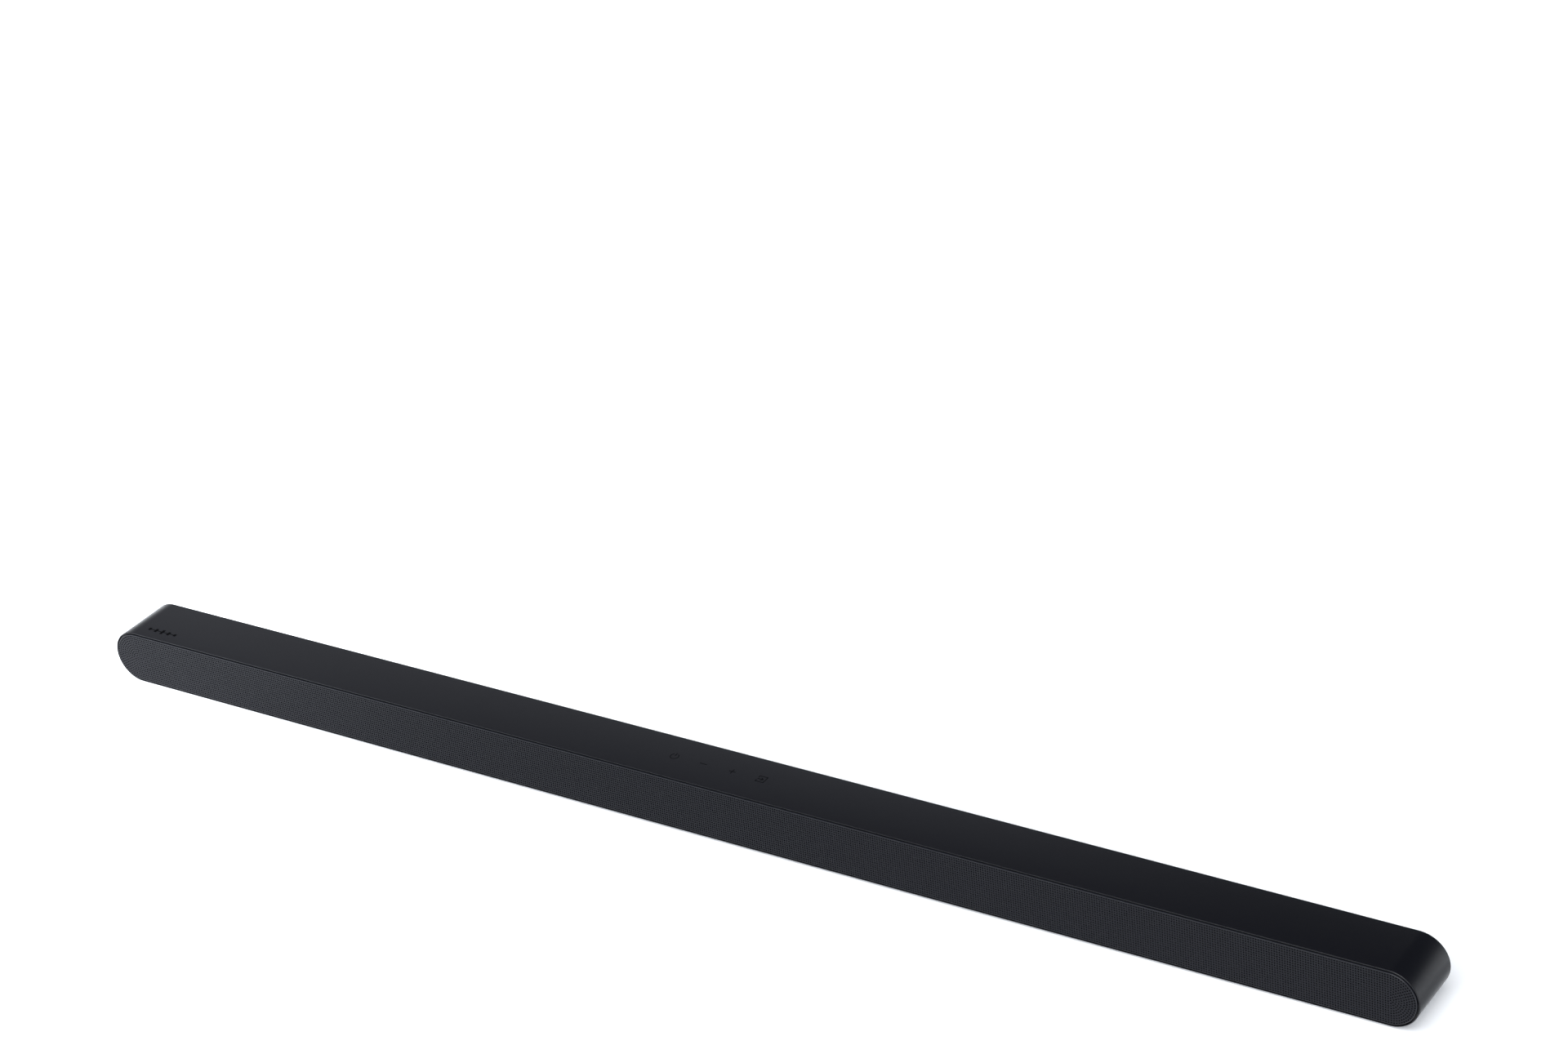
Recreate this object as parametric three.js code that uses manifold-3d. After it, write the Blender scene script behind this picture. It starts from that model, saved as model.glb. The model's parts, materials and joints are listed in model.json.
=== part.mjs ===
// A slim living-room soundbar with three front channels, modelled as the pieces it comes apart into.
// Millimetres, +Z up, front towards -Y, origin on the table under the middle of the bar.
// Every piece is shaped about the bar's long axis, which lies AXIS_HEIGHT above the table.
import * as THREE from "three";
import { mergeVertices } from "three/addons/utils/BufferGeometryUtils.js";
import Module from "manifold-3d";

const wasm = await Module();
wasm.setup();

// ---------------------------------------------------------------- driving dimensions
const BAR_LENGTH = 1160;
const BAR_HEIGHT = 46;
const BAR_DEPTH = 52;
const FOOT_DROP = 1.5; // how far the rubber feet stand below the casing
const WALL = 1.4; // casing wall
const GAP = 0.1; // air between pieces that meet
const LIP_ROUND = 1; // rounding of the casing's front and back edges
const PAST = 1; // how far a cutting tool runs past what it cuts

const OUTER_R = BAR_HEIGHT / 2;
const INNER_R = OUTER_R - WALL;
const END_X = BAR_LENGTH / 2 - OUTER_R; // centre of each half-round end
const AXIS_HEIGHT = FOOT_DROP + OUTER_R;
const FRONT = -BAR_DEPTH / 2;
const BACK = BAR_DEPTH / 2;
const CASING_FRONT = FRONT + 0.5; // the grille stands just proud of the casing's edge

const LEDGE_R = 20.2; // inner edge of the two ledges inside the casing
const LEDGE_THICK = 2;
const BAFFLE_FRONT = -19.1;
const BAFFLE_BACK = -16.6;
const COVER_INNER = 22.4;
const COVER_OUTER = 24.8;

const GRILLE_R = 21;
const GRILLE_FRONT = FRONT;
const GRILLE_THICK = 0.6;
const GRILLE_FLANGE_BACK = -21.4;
const FRAME_FRONT = -23.5;

const WOOFER_X = [-505, -375, -65, 65, 375, 505];
const TWEETER_X = [-440, 0, 440];
const WOOFER_HALF_STRAIGHT = 26;
const DRIVER_FRONT = BAFFLE_BACK + GAP;
const DRIVER_FLANGE_BACK = DRIVER_FRONT + 1.8;

const POST_X = [-562, -325, -118, 118, 325, 562]; // the cover is screwed to these posts
const POST_R = 3.5;
const SCREW = { shankR: 1.1, headR: 2.8, headThick: 1.4, length: 20 };

const BAY = { x0: 150, x1: 290, halfHeight: 13, floor: 14, wall: 1.8 }; // recess for the sockets
const MOUTH = BAY.floor + 0.5; // the sockets' mouths stand just proud of the bay floor
const BOARD = { bottom: -12.5, top: -10.9, front: -14, back: 12 };
const RAIL_X = [-307, -135, 135, 307]; // the boards rest on these rails

const WALL_BOSS = { x: 420, radius: 7, holeR: 1.65, inner: COVER_INNER - 7 };
const FOOT = { x: 470, y: 15, length: 36, width: 9, setIn: 0.5 };
const KEYS_X = [-38.9, -12.8, 13.3, 39.4]; // the touch keys behind the top of the casing

// A plain level-meter mark inlaid in the top: five bars joined by a thin rail.
const BADGE = {
  x: -535.4,
  y: -14.3,
  heights: [3, 4.6, 6, 4.6, 3],
  pitch: 6.6,
  width: 2.4,
  rail: 0.8,
  thick: 0.6,
};

// colour, roughness, metalness
const FINISHES = {
  casing: [0x2b2d33, 0.42, 0.2],
  grille: [0x36383f, 0.45, 0.5],
  blackPlastic: [0x101113, 0.6, 0],
  cloth: [0x08080a, 0.95, 0],
  rubber: [0x121212, 0.9, 0],
  inlay: [0x050506, 0.25, 0],
  board: [0x14382a, 0.5, 0],
  aluminium: [0xb4b6ba, 0.35, 0.9],
  steel: [0x8d9096, 0.35, 0.9],
  cone: [0x1c1c1e, 0.8, 0],
  dome: [0x2a2622, 0.75, 0],
  screw: [0x1a1a1c, 0.35, 0.8],
  cable: [0x19191b, 0.6, 0],
};

// ---------------------------------------------------------------- solids
const WELD = 1e-4;

function toSolid(geometry) {
  const plain = new THREE.BufferGeometry();
  plain.setAttribute("position", geometry.getAttribute("position"));
  plain.setIndex(geometry.index);
  const merged = mergeVertices(plain, WELD);
  const triVerts = new Uint32Array(merged.index.array);
  const vertProperties = merged.attributes.position.array;
  return new wasm.Manifold(new wasm.Mesh({ numProp: 3, vertProperties, triVerts }));
}

function toGeometry(solid) {
  const mesh = solid.getMesh();
  const geometry = new THREE.BufferGeometry();
  geometry.setAttribute("position", new THREE.BufferAttribute(mesh.vertProperties, 3));
  geometry.setIndex(new THREE.BufferAttribute(mesh.triVerts, 1));
  geometry.computeVertexNormals();
  return geometry;
}

const join = (solids) => solids.reduce((sum, solid) => sum.add(solid));
const cut = (solid, tools) => tools.reduce((left, tool) => left.subtract(tool), solid);
const vectors = (points) => points.map(([u, v]) => new THREE.Vector2(u, v));

function box(x0, x1, y0, y1, z0, z1) {
  const geometry = new THREE.BoxGeometry(x1 - x0, y1 - y0, z1 - z0);
  return toSolid(geometry.translate((x0 + x1) / 2, (y0 + y1) / 2, (z0 + z1) / 2));
}

// A racetrack outline: two half circles joined by straight sides.
function racetrack(halfStraight, radius) {
  const shape = new THREE.Shape();
  shape.moveTo(-halfStraight, -radius);
  shape.lineTo(halfStraight, -radius);
  shape.absarc(halfStraight, 0, radius, -Math.PI / 2, Math.PI / 2, false);
  shape.lineTo(-halfStraight, radius);
  shape.absarc(-halfStraight, 0, radius, Math.PI / 2, (3 * Math.PI) / 2, false);
  return shape;
}

// Extrudes an outline drawn in X and Z along Y from y0 to y1; round rounds both ends' edges.
function alongY(shape, y0, y1, { x = 0, z = 0, arcSteps = 4, round = 0 } = {}) {
  const geometry = new THREE.ExtrudeGeometry(shape, {
    depth: y1 - y0 - 2 * round,
    curveSegments: arcSteps,
    bevelEnabled: round > 0,
    bevelThickness: round,
    bevelSize: round,
    bevelOffset: -round,
    bevelSegments: 2,
  });
  return toSolid(geometry.rotateX(Math.PI / 2).translate(x, y1 - round, z));
}

// A plate with the bar's own racetrack outline.
function barPlate(radius, y0, y1, round = 0) {
  return alongY(racetrack(END_X, radius), y0, y1, { arcSteps: 8, round });
}

// Extrudes an outline drawn in X and Y along Z from z0 to z1.
function alongZ(shape, z0, z1, { x = 0, y = 0 } = {}) {
  const geometry = new THREE.ExtrudeGeometry(shape, {
    depth: z1 - z0,
    bevelEnabled: false,
    curveSegments: 4,
  });
  return toSolid(geometry.translate(x, y, z0));
}

function rod(radius, y0, y1, { x = 0, z = 0, sides = 12 } = {}) {
  const geometry = new THREE.CylinderGeometry(radius, radius, y1 - y0, sides);
  return toSolid(geometry.translate(x, (y0 + y1) / 2, z));
}

// Turns a profile of [radius, y] points about the Y axis. It runs from the front round to the back.
function turned(profile) {
  return toSolid(new THREE.LatheGeometry(vectors(profile), 12));
}

// Skins racetrack rings { half, radius, y } into a closed solid, listed outwards along the front and back
// inwards behind. A radius of 0 is a point on the axis; a list that starts off the axis closes on itself.
const ARC_STEPS = 6;
function skinned(rings) {
  const count = 2 * ARC_STEPS;
  const positions = [];
  const starts = [];
  for (const { half, radius, y } of rings) {
    starts.push(positions.length / 3);
    const points = radius === 0 ? 1 : count;
    for (let i = 0; i < points; i++) {
      const angle = ((i + 0.5) / ARC_STEPS - 0.5) * Math.PI;
      const side = radius === 0 ? 0 : Math.sign(Math.cos(angle)) * half;
      positions.push(side + radius * Math.cos(angle), y, radius * Math.sin(angle));
    }
  }
  const at = (ring, i) => starts[ring] + (rings[ring].radius === 0 ? 0 : i % count);
  const bands = rings[0].radius === 0 ? rings.length - 1 : rings.length;
  const index = [];
  for (let ring = 0; ring < bands; ring++) {
    const next = (ring + 1) % rings.length;
    for (let i = 0; i < count; i++) {
      const [a, b, c, d] = [at(ring, i), at(ring, i + 1), at(next, i + 1), at(next, i)];
      if (a !== b) index.push(a, c, b);
      if (c !== d) index.push(a, d, c);
    }
  }
  const geometry = new THREE.BufferGeometry();
  geometry.setAttribute("position", new THREE.Float32BufferAttribute(positions, 3));
  geometry.setIndex(index);
  return toSolid(geometry);
}

// ---------------------------------------------------------------- scene graph
const soundbar = new THREE.Group();
const bar = new THREE.Group();
bar.position.z = AXIS_HEIGHT;
soundbar.add(bar);

function place(parent, name, solid, finish, [x, y, z] = [0, 0, 0]) {
  const [color, roughness, metalness] = FINISHES[finish];
  const material = new THREE.MeshStandardMaterial({ color, roughness, metalness });
  const mesh = new THREE.Mesh(toGeometry(solid), material);
  mesh.name = name;
  mesh.position.set(x, y, z);
  parent.add(mesh);
}

function groupAt(x, y = 0, z = 0) {
  const group = new THREE.Group();
  group.position.set(x, y, z);
  bar.add(group);
  return group;
}

// ---------------------------------------------------------------- casing, mark and feet
function badgeMark(margin, z0, z1) {
  const { x, y, pitch, width, rail, heights } = BADGE;
  const middle = (heights.length - 1) / 2;
  const levelBar = (barX, halfWidth, halfHeight) => {
    const [u, v] = [halfWidth + margin, halfHeight + margin];
    return box(barX - u, barX + u, y - v, y + v, z0, z1);
  };
  const bars = heights.map((height, i) => levelBar(x + (i - middle) * pitch, width / 2, height / 2));
  return join([levelBar(x, middle * pitch, rail / 2), ...bars]);
}

function footPad(margin, z0, z1, { x = 0, y = 0 } = {}) {
  const outline = racetrack((FOOT.length - FOOT.width) / 2, FOOT.width / 2 + margin);
  return alongZ(outline, z0, z1, { x, y });
}

const FEET = [
  ["foot_front_left", -FOOT.x, -FOOT.y],
  ["foot_front_right", FOOT.x, -FOOT.y],
  ["foot_back_left", -FOOT.x, FOOT.y],
  ["foot_back_right", FOOT.x, FOOT.y],
];

function outerShell() {
  const ledge = (y) => {
    const hollow = barPlate(LEDGE_R, y - PAST, y + LEDGE_THICK + PAST);
    return barPlate(INNER_R + WALL / 2, y, y + LEDGE_THICK).subtract(hollow);
  };
  const sleeve = barPlate(OUTER_R, CASING_FRONT, BACK, LIP_ROUND).subtract(
    barPlate(INNER_R, FRONT - PAST, BACK + PAST),
  );
  const pocketTop = FOOT.setIn + GAP - OUTER_R;
  const pockets = FEET.map(([, x, y]) => footPad(GAP, -OUTER_R - PAST, pocketTop, { x, y }));
  const markPocket = badgeMark(GAP, OUTER_R - BADGE.thick - GAP, OUTER_R + PAST);
  const frontLedge = ledge(BAFFLE_BACK + GAP);
  const backLedge = ledge(COVER_INNER - GAP - LEDGE_THICK);
  return cut(join([sleeve, frontLedge, backLedge]), [markPocket, ...pockets]);
}

place(bar, "outer_shell", outerShell(), "casing");
place(bar, "badge", badgeMark(0, OUTER_R - BADGE.thick, OUTER_R), "inlay");
for (const [name, x, y] of FEET) {
  place(bar, name, footPad(0, 0, FOOT_DROP + FOOT.setIn), "rubber", [x, y, -AXIS_HEIGHT]);
}

// ---------------------------------------------------------------- grille, scrim and frame
function frontGrille() {
  const inside = barPlate(GRILLE_R - GRILLE_THICK, GRILLE_FRONT + GRILLE_THICK, GRILLE_FLANGE_BACK + PAST);
  return barPlate(GRILLE_R, GRILLE_FRONT, GRILLE_FLANGE_BACK).subtract(inside);
}

function grilleScrim() {
  const front = GRILLE_FRONT + GRILLE_THICK + GAP;
  return barPlate(GRILLE_R - GRILLE_THICK - 0.3, front, front + 0.3);
}

function grilleFrame() {
  const ring = barPlate(INNER_R - GAP, FRAME_FRONT, BAFFLE_FRONT - GAP);
  const seat = barPlate(GRILLE_R + GAP, GRILLE_FRONT, GRILLE_FLANGE_BACK + GAP);
  return cut(ring, [seat, barPlate(17.5, GRILLE_FRONT, BAFFLE_FRONT + PAST)]);
}

place(bar, "front_grille", frontGrille(), "grille");
place(bar, "grille_scrim", grilleScrim(), "cloth");
place(bar, "grille_frame", grilleFrame(), "blackPlastic");

// ---------------------------------------------------------------- baffle, back cover and its screws
function frontBaffle() {
  const postEnd = COVER_INNER - GAP;
  const plate = barPlate(INNER_R - 2 * GAP, BAFFLE_FRONT, BAFFLE_BACK);
  const posts = POST_X.map((x) => rod(POST_R, BAFFLE_BACK - 0.5, postEnd, { x, sides: 10 }));
  const railBottom = BOARD.bottom - 6;
  const railTop = BOARD.bottom - GAP;
  const rails = RAIL_X.map((x) => box(x - 1.5, x + 1.5, BAFFLE_BACK - 0.5, BOARD.back, railBottom, railTop));
  const [front, back] = [BAFFLE_FRONT - PAST, BAFFLE_BACK + PAST];
  const wooferOpening = racetrack(WOOFER_HALF_STRAIGHT, 15.6);
  const wooferHoles = WOOFER_X.map((x) => alongY(wooferOpening, front, back, { x }));
  const tweeterHoles = TWEETER_X.map((x) => rod(11.5, front, back, { x }));
  const pilotStart = COVER_INNER - SCREW.length;
  const pilots = POST_X.map((x) => rod(SCREW.shankR + 0.4, pilotStart, postEnd + PAST, { x, sides: 6 }));
  return cut(join([plate, ...posts, ...rails]), [...wooferHoles, ...tweeterHoles, ...pilots]);
}

const SOCKETS = {
  dc: { x: 168, width: 9, height: 11 },
  optical: { x: 196, width: 10, height: 10.4 },
  hdmi: { x: 228, width: 15.4, height: 6 },
  usb: { x: 262, width: 13.4, height: 5.9 },
};
const SOCKET_BASE = BOARD.top + GAP;
const MOUTH_GAP = 0.25; // air round each socket where it passes through the bay floor

function rearCover() {
  const { x0, x1, halfHeight, floor, wall } = BAY;
  const [past, high] = [COVER_OUTER + PAST, halfHeight + wall];
  const bayBody = box(x0 - wall, x1 + wall, floor - wall, COVER_INNER + PAST, -high, high);
  const bay = box(x0, x1, floor, past, -halfHeight, halfHeight);
  const mouths = Object.values(SOCKETS).map(({ x, width, height }) => {
    const half = width / 2 + MOUTH_GAP;
    const [z0, z1] = [SOCKET_BASE - MOUTH_GAP, SOCKET_BASE + height + MOUTH_GAP];
    return box(x - half, x + half, floor - wall - PAST, floor + PAST, z0, z1);
  });
  const bossX = [-WALL_BOSS.x, WALL_BOSS.x];
  const bosses = bossX.map((x) => rod(WALL_BOSS.radius, WALL_BOSS.inner, BACK, { x, sides: 20 }));
  const holes = bossX.map((x) => rod(WALL_BOSS.holeR, WALL_BOSS.inner + 2, BACK + PAST, { x }));
  const seatFloor = COVER_OUTER - SCREW.headThick;
  const headSeats = POST_X.map((x) => rod(SCREW.headR + 0.4, seatFloor, past, { x }));
  const shankHoles = POST_X.map((x) => rod(SCREW.shankR + 0.6, COVER_INNER - PAST, past, { x, sides: 8 }));
  return cut(join([barPlate(INNER_R - GAP, COVER_INNER, COVER_OUTER), bayBody, ...bosses]), [
    bay, ...mouths, ...holes, ...headSeats, ...shankHoles,
  ]);
}

function coverScrew() {
  const headBack = COVER_OUTER - GAP;
  const headFront = COVER_OUTER - SCREW.headThick + GAP;
  const head = rod(SCREW.headR, headFront, headBack, { sides: 10 });
  const shank = rod(SCREW.shankR, COVER_INNER - SCREW.length + 1, headFront + GAP, { sides: 6 });
  const slot = (u, v) => box(-u, u, headBack - 0.7, headBack + PAST, -v, v);
  return cut(join([head, shank]), [slot(1.7, 0.35), slot(0.35, 1.7)]);
}

place(bar, "front_baffle", frontBaffle(), "blackPlastic");
place(bar, "rear_cover", rearCover(), "blackPlastic");
POST_X.forEach((x, i) => place(bar, `cover_screw_${i + 1}`, coverScrew(), "screw", [x, 0, 0]));

// ---------------------------------------------------------------- woofers
const BASKET_RING = { radius: 17, hole: 11.4, y0: 2.9, y1: 4.4 };
const COIL = { inner: 9.75, outer: 10.25, end: 8 };
const MAGNET = {
  radius: 16,
  front: BASKET_RING.y1 + GAP,
  back: 15,
  groove: { inner: 9, outer: 11, end: 12.5 },
};

function wooferBasket() {
  const [half, flangeFront, flangeBack] = [WOOFER_HALF_STRAIGHT, DRIVER_FRONT, DRIVER_FLANGE_BACK];
  const { radius, hole, y0, y1 } = BASKET_RING;
  const flange = alongY(racetrack(half, 19.5), flangeFront, flangeBack);
  const opening = alongY(racetrack(half, 15.5), flangeFront - PAST, flangeBack + PAST);
  const arms = [-1, 1].flatMap((side) => {
    const arm = new THREE.Shape(
      vectors([
        [side * 30, flangeBack - 0.5],
        [side * 22, flangeBack - 0.5],
        [side * 3, y0],
        [side * 3, y1],
        [side * 11, y1],
      ]),
    );
    return [alongZ(arm, 14.5, 17.5), alongZ(arm, -17.5, -14.5)];
  });
  return cut(join([flange, rod(radius, y0, y1), ...arms]), [opening, rod(hole, y0 - PAST, y1 + PAST)]);
}

function wooferMagnet() {
  const { radius, front, back, groove } = MAGNET;
  return turned([
    [0, front], [groove.inner, front], [groove.inner, groove.end], [groove.outer, groove.end],
    [groove.outer, front], [radius, front], [radius, back], [0, back],
  ]);
}

// The diaphragm: dust cap, racetrack cone and voice-coil former move as one.
function wooferCone() {
  const half = WOOFER_HALF_STRAIGHT;
  return skinned([
    { half: 0, radius: 0, y: -10.2 },
    { half: 0, radius: 5, y: -9.6 },
    { half: 0, radius: 9.9, y: -7.2 },
    { half: half / 2, radius: 11, y: -11 },
    { half, radius: 11.9, y: -14.4 },
    { half, radius: 11.9, y: -13.7 },
    { half: half / 2, radius: 11, y: -10.2 },
    { half: 0, radius: COIL.outer, y: -6.2 },
    { half: 0, radius: COIL.outer, y: COIL.end },
    { half: 0, radius: COIL.inner, y: COIL.end },
    { half: 0, radius: COIL.inner, y: -6.2 },
    { half: 0, radius: 4.9, y: -8.9 },
    { half: 0, radius: 0, y: -9.5 },
  ]);
}

// The rubber surround: a roll between the basket's flange and the rim of the cone.
function wooferSurround() {
  const section = [
    [12.3, -14.3], [12.8, -15.6], [13.2, -17.4], [13.8, -17.4], [14.2, -16.4], [14.9, -16.4],
    [14.9, -15.9], [14, -15.9], [13.6, -16.9], [13.4, -16.9], [13.2, -15.3], [12.7, -13.8], [12.3, -13.8],
  ];
  return skinned(section.map(([radius, y]) => ({ half: WOOFER_HALF_STRAIGHT, radius, y })));
}

WOOFER_X.forEach((x, i) => {
  const woofer = groupAt(x);
  place(woofer, `woofer_${i + 1}_basket`, wooferBasket(), "blackPlastic");
  place(woofer, `woofer_${i + 1}_magnet`, wooferMagnet(), "steel");
  place(woofer, `woofer_${i + 1}_cone`, wooferCone(), "cone");
  place(woofer, `woofer_${i + 1}_surround`, wooferSurround(), "rubber");
});

// ---------------------------------------------------------------- tweeters
function tweeterBody() {
  return turned([
    [0, -13.5], [9.2, -13.5], [9.2, -8], [10.8, -8], [10.8, DRIVER_FRONT], [17, DRIVER_FRONT],
    [17, DRIVER_FLANGE_BACK], [13, DRIVER_FLANGE_BACK], [13, -4], [0, -4],
  ]);
}

// The dome and its voice-coil former.
function tweeterDome() {
  return turned([
    [0, -19], [4, -18.5], [7, -17.3], [9.3, -15.6], [10.3, -15.4], [10.3, -15], [10.1, -15],
    [10.1, -10], [9.6, -10], [9.6, -14.9], [6.7, -16.6], [3.8, -17.9], [0, -18.4],
  ]);
}

TWEETER_X.forEach((x, i) => {
  const tweeter = groupAt(x);
  place(tweeter, `tweeter_${i + 1}_body`, tweeterBody(), "blackPlastic");
  place(tweeter, `tweeter_${i + 1}_dome`, tweeterDome(), "dome");
});

// ---------------------------------------------------------------- circuit boards
// A board from x0 to x1 with its parts, each [x, y, width, depth, height], standing on it.
function populatedBoard(x0, x1, parts) {
  const sheet = box(x0, x1, BOARD.front, BOARD.back, BOARD.bottom, BOARD.top);
  const chips = parts.map(([x, y, width, depth, height]) =>
    box(x - width / 2, x + width / 2, y - depth / 2, y + depth / 2, BOARD.top - 0.2, BOARD.top + height),
  );
  return join([sheet, ...chips]);
}

const MAIN_PARTS = [[150, -4, 14, 14, 1.2], [180, -8, 9, 9, 1], [215, -8, 18, 6, 3], [250, -8, 8, 8, 1.4]];
const AMP_PARTS = [[-150, -6, 10, 10, 12], [-150, 6, 10, 10, 12], [-165, 0, 8, 8, 6], [-306, 0, 12, 16, 8]];

function heatSink() {
  const [x0, x1, seat] = [-292, -174, BOARD.top + GAP];
  const fins = [-10.9, -6.4, -1.9, 2.6, 7.1].map((y) => box(x0, x1, y, y + 1.8, seat + 1, seat + 22));
  return join([box(x0, x1, -11, 9, seat, seat + 3), ...fins]);
}

function wirelessModule() {
  const [x, seat] = [302, BOARD.top + GAP];
  return join([box(x - 12, x + 12, -12, 4, seat, seat + 1), box(x - 9, x + 7, -10, 2, seat + 0.8, seat + 3)]);
}

function touchBoard() {
  const top = INNER_R - GAP;
  const sheet = box(KEYS_X[0] - 12, KEYS_X.at(-1) + 12, -11, 13, top - 1.4, top - 0.4);
  const pads = KEYS_X.map((x) => {
    const pad = new THREE.CylinderGeometry(6, 6, 0.6, 12);
    return toSolid(pad.rotateX(Math.PI / 2).translate(x, 1, top - 0.3));
  });
  return join([sheet, ...pads]);
}

// The status lamp and the remote-control receiver look out through the scrim and the grille.
function indicatorBoard() {
  const [x, back] = [200, BAFFLE_FRONT - GAP];
  const sheet = box(x - 13, x + 13, back - 1, back, -6, 6);
  const lamp = rod(1.5, back - 3, back - 0.8, { x: x - 5, sides: 10 });
  const receiver = box(x + 3, x + 9, back - 3.4, back - 0.8, -3, 3);
  return join([sheet, lamp, receiver]);
}

place(bar, "main_board", populatedBoard(126, 316, MAIN_PARTS), "board");
place(bar, "amplifier_board", populatedBoard(-316, -126, AMP_PARTS), "board");
place(bar, "heat_sink", heatSink(), "aluminium");
place(bar, "wireless_module", wirelessModule(), "steel");
place(bar, "touch_board", touchBoard(), "board");
place(bar, "indicator_board", indicatorBoard(), "board");

// ---------------------------------------------------------------- sockets
// Each socket is shaped with its mouth at y = 0 and its underside at z = 0.
const socketCase = ({ width, height }, length) => box(-width / 2, width / 2, -length, 0, 0, height);

function hdmiSocket() {
  const mid = SOCKETS.hdmi.height / 2;
  const mouth = new THREE.Shape(
    vectors([[-7, 2.28], [7, 2.28], [7, -0.6], [5.2, -2.28], [-5.2, -2.28], [-7, -0.6]]),
  );
  const tongue = box(-5.9, 5.9, -10.5, -1, mid - 0.1, mid + 0.9);
  return socketCase(SOCKETS.hdmi, 12).subtract(alongY(mouth, -10, PAST, { z: mid })).add(tongue);
}

function usbSocket() {
  const hollow = box(-6.25, 6.25, -12.5, PAST, 0.4, 5.5);
  const tongue = box(-5.5, 5.5, -13, -1, 3.3, 5.1);
  return socketCase(SOCKETS.usb, 14).subtract(hollow).add(tongue);
}

function dcSocket() {
  const z = 6.2;
  const bore = rod(3.15, -9.5, PAST, { z, sides: 16 });
  return socketCase(SOCKETS.dc, 13).subtract(bore).add(rod(1.25, -10, -1, { z, sides: 10 }));
}

// A square hole, with a pocket in its roof where the hinged shutter folds away.
const OPTICAL = { holeHalf: 3.2, z: 4.8, hinge: { y: -1.4, z: 8.5 } };
function opticalSocket() {
  const { holeHalf, z } = OPTICAL;
  const hole = box(-holeHalf, holeHalf, -10, PAST, z - holeHalf, z + holeHalf);
  const roofPocket = box(-holeHalf, holeHalf, -8.6, -0.8, z + 3, z + 4.4);
  return cut(socketCase(SOCKETS.optical, 12), [hole, roofPocket]);
}

function opticalShutter() {
  const { holeHalf, z, hinge } = OPTICAL;
  const [half, thick] = [holeHalf - 0.2, 0.6];
  const flap = box(-half, half, hinge.y - thick / 2, hinge.y + thick / 2, z - holeHalf + GAP, hinge.z);
  const barrel = new THREE.CylinderGeometry(0.45, 0.45, 2 * half, 12);
  return flap.add(toSolid(barrel.rotateZ(Math.PI / 2).translate(0, hinge.y, hinge.z)));
}

const socketAt = ({ x }) => groupAt(x, MOUTH, SOCKET_BASE);
place(socketAt(SOCKETS.hdmi), "hdmi_socket", hdmiSocket(), "steel");
place(socketAt(SOCKETS.usb), "usb_socket", usbSocket(), "steel");
place(socketAt(SOCKETS.dc), "dc_power_socket", dcSocket(), "blackPlastic");
const opticalGroup = socketAt(SOCKETS.optical);
place(opticalGroup, "optical_socket", opticalSocket(), "blackPlastic");
place(opticalGroup, "optical_shutter", opticalShutter(), "blackPlastic");

// ---------------------------------------------------------------- internal wiring
function harness(points) {
  const route = points.map(([x, y, z]) => new THREE.Vector3(x, y, z));
  const section = new THREE.Shape();
  section.absarc(0, 0, 1.8, 0, 2 * Math.PI, false);
  return toSolid(
    new THREE.ExtrudeGeometry(section, {
      extrudePath: new THREE.CatmullRomCurve3(route, false, "centripetal"),
      steps: 14,
      curveSegments: 3,
    }),
  );
}

const LEFT_ROUTE = [
  [-535, 18, -11.5], [-520, 18, -17.5], [-440, 18, -18.5], [-350, 18, -18.5],
  [-320, 17, -17], [-309, 15, -10.5], [-306, 15, -4.5],
];
const RIGHT_ROUTE = [
  [-133, 15, -4.5], [-131, 15, -10.5], [-110, 17, -17], [0, 18, -18.5], [220, 18, -18.5],
  [440, 18, -18.5], [520, 18, -17.5], [535, 18, -11.5],
];
place(bar, "speaker_harness_left", harness(LEFT_ROUTE), "cable");
place(bar, "speaker_harness_right", harness(RIGHT_ROUTE), "cable");

export default soundbar;
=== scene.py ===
import json
import math

import bmesh
import bpy
import numpy as np
from mathutils import Matrix, Vector
from mathutils.geometry import delaunay_2d_cdt


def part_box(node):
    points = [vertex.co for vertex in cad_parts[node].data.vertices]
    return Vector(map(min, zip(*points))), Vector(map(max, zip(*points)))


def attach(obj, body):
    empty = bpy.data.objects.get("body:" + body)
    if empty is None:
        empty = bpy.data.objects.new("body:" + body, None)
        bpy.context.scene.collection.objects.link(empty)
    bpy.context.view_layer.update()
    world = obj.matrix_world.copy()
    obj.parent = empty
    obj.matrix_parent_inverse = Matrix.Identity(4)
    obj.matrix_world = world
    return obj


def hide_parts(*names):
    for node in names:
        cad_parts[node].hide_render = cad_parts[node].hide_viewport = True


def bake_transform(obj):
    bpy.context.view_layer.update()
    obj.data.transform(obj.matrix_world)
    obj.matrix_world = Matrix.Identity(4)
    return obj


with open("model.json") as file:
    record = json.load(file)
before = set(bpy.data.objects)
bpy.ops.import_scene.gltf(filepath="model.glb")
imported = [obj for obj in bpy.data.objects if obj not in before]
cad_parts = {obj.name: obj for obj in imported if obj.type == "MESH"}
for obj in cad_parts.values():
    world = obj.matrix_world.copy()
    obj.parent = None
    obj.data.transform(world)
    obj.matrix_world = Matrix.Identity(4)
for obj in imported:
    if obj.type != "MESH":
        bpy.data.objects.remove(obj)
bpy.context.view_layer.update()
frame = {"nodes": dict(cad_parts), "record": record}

MM = 0.001
NODES = frame["nodes"]

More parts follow.
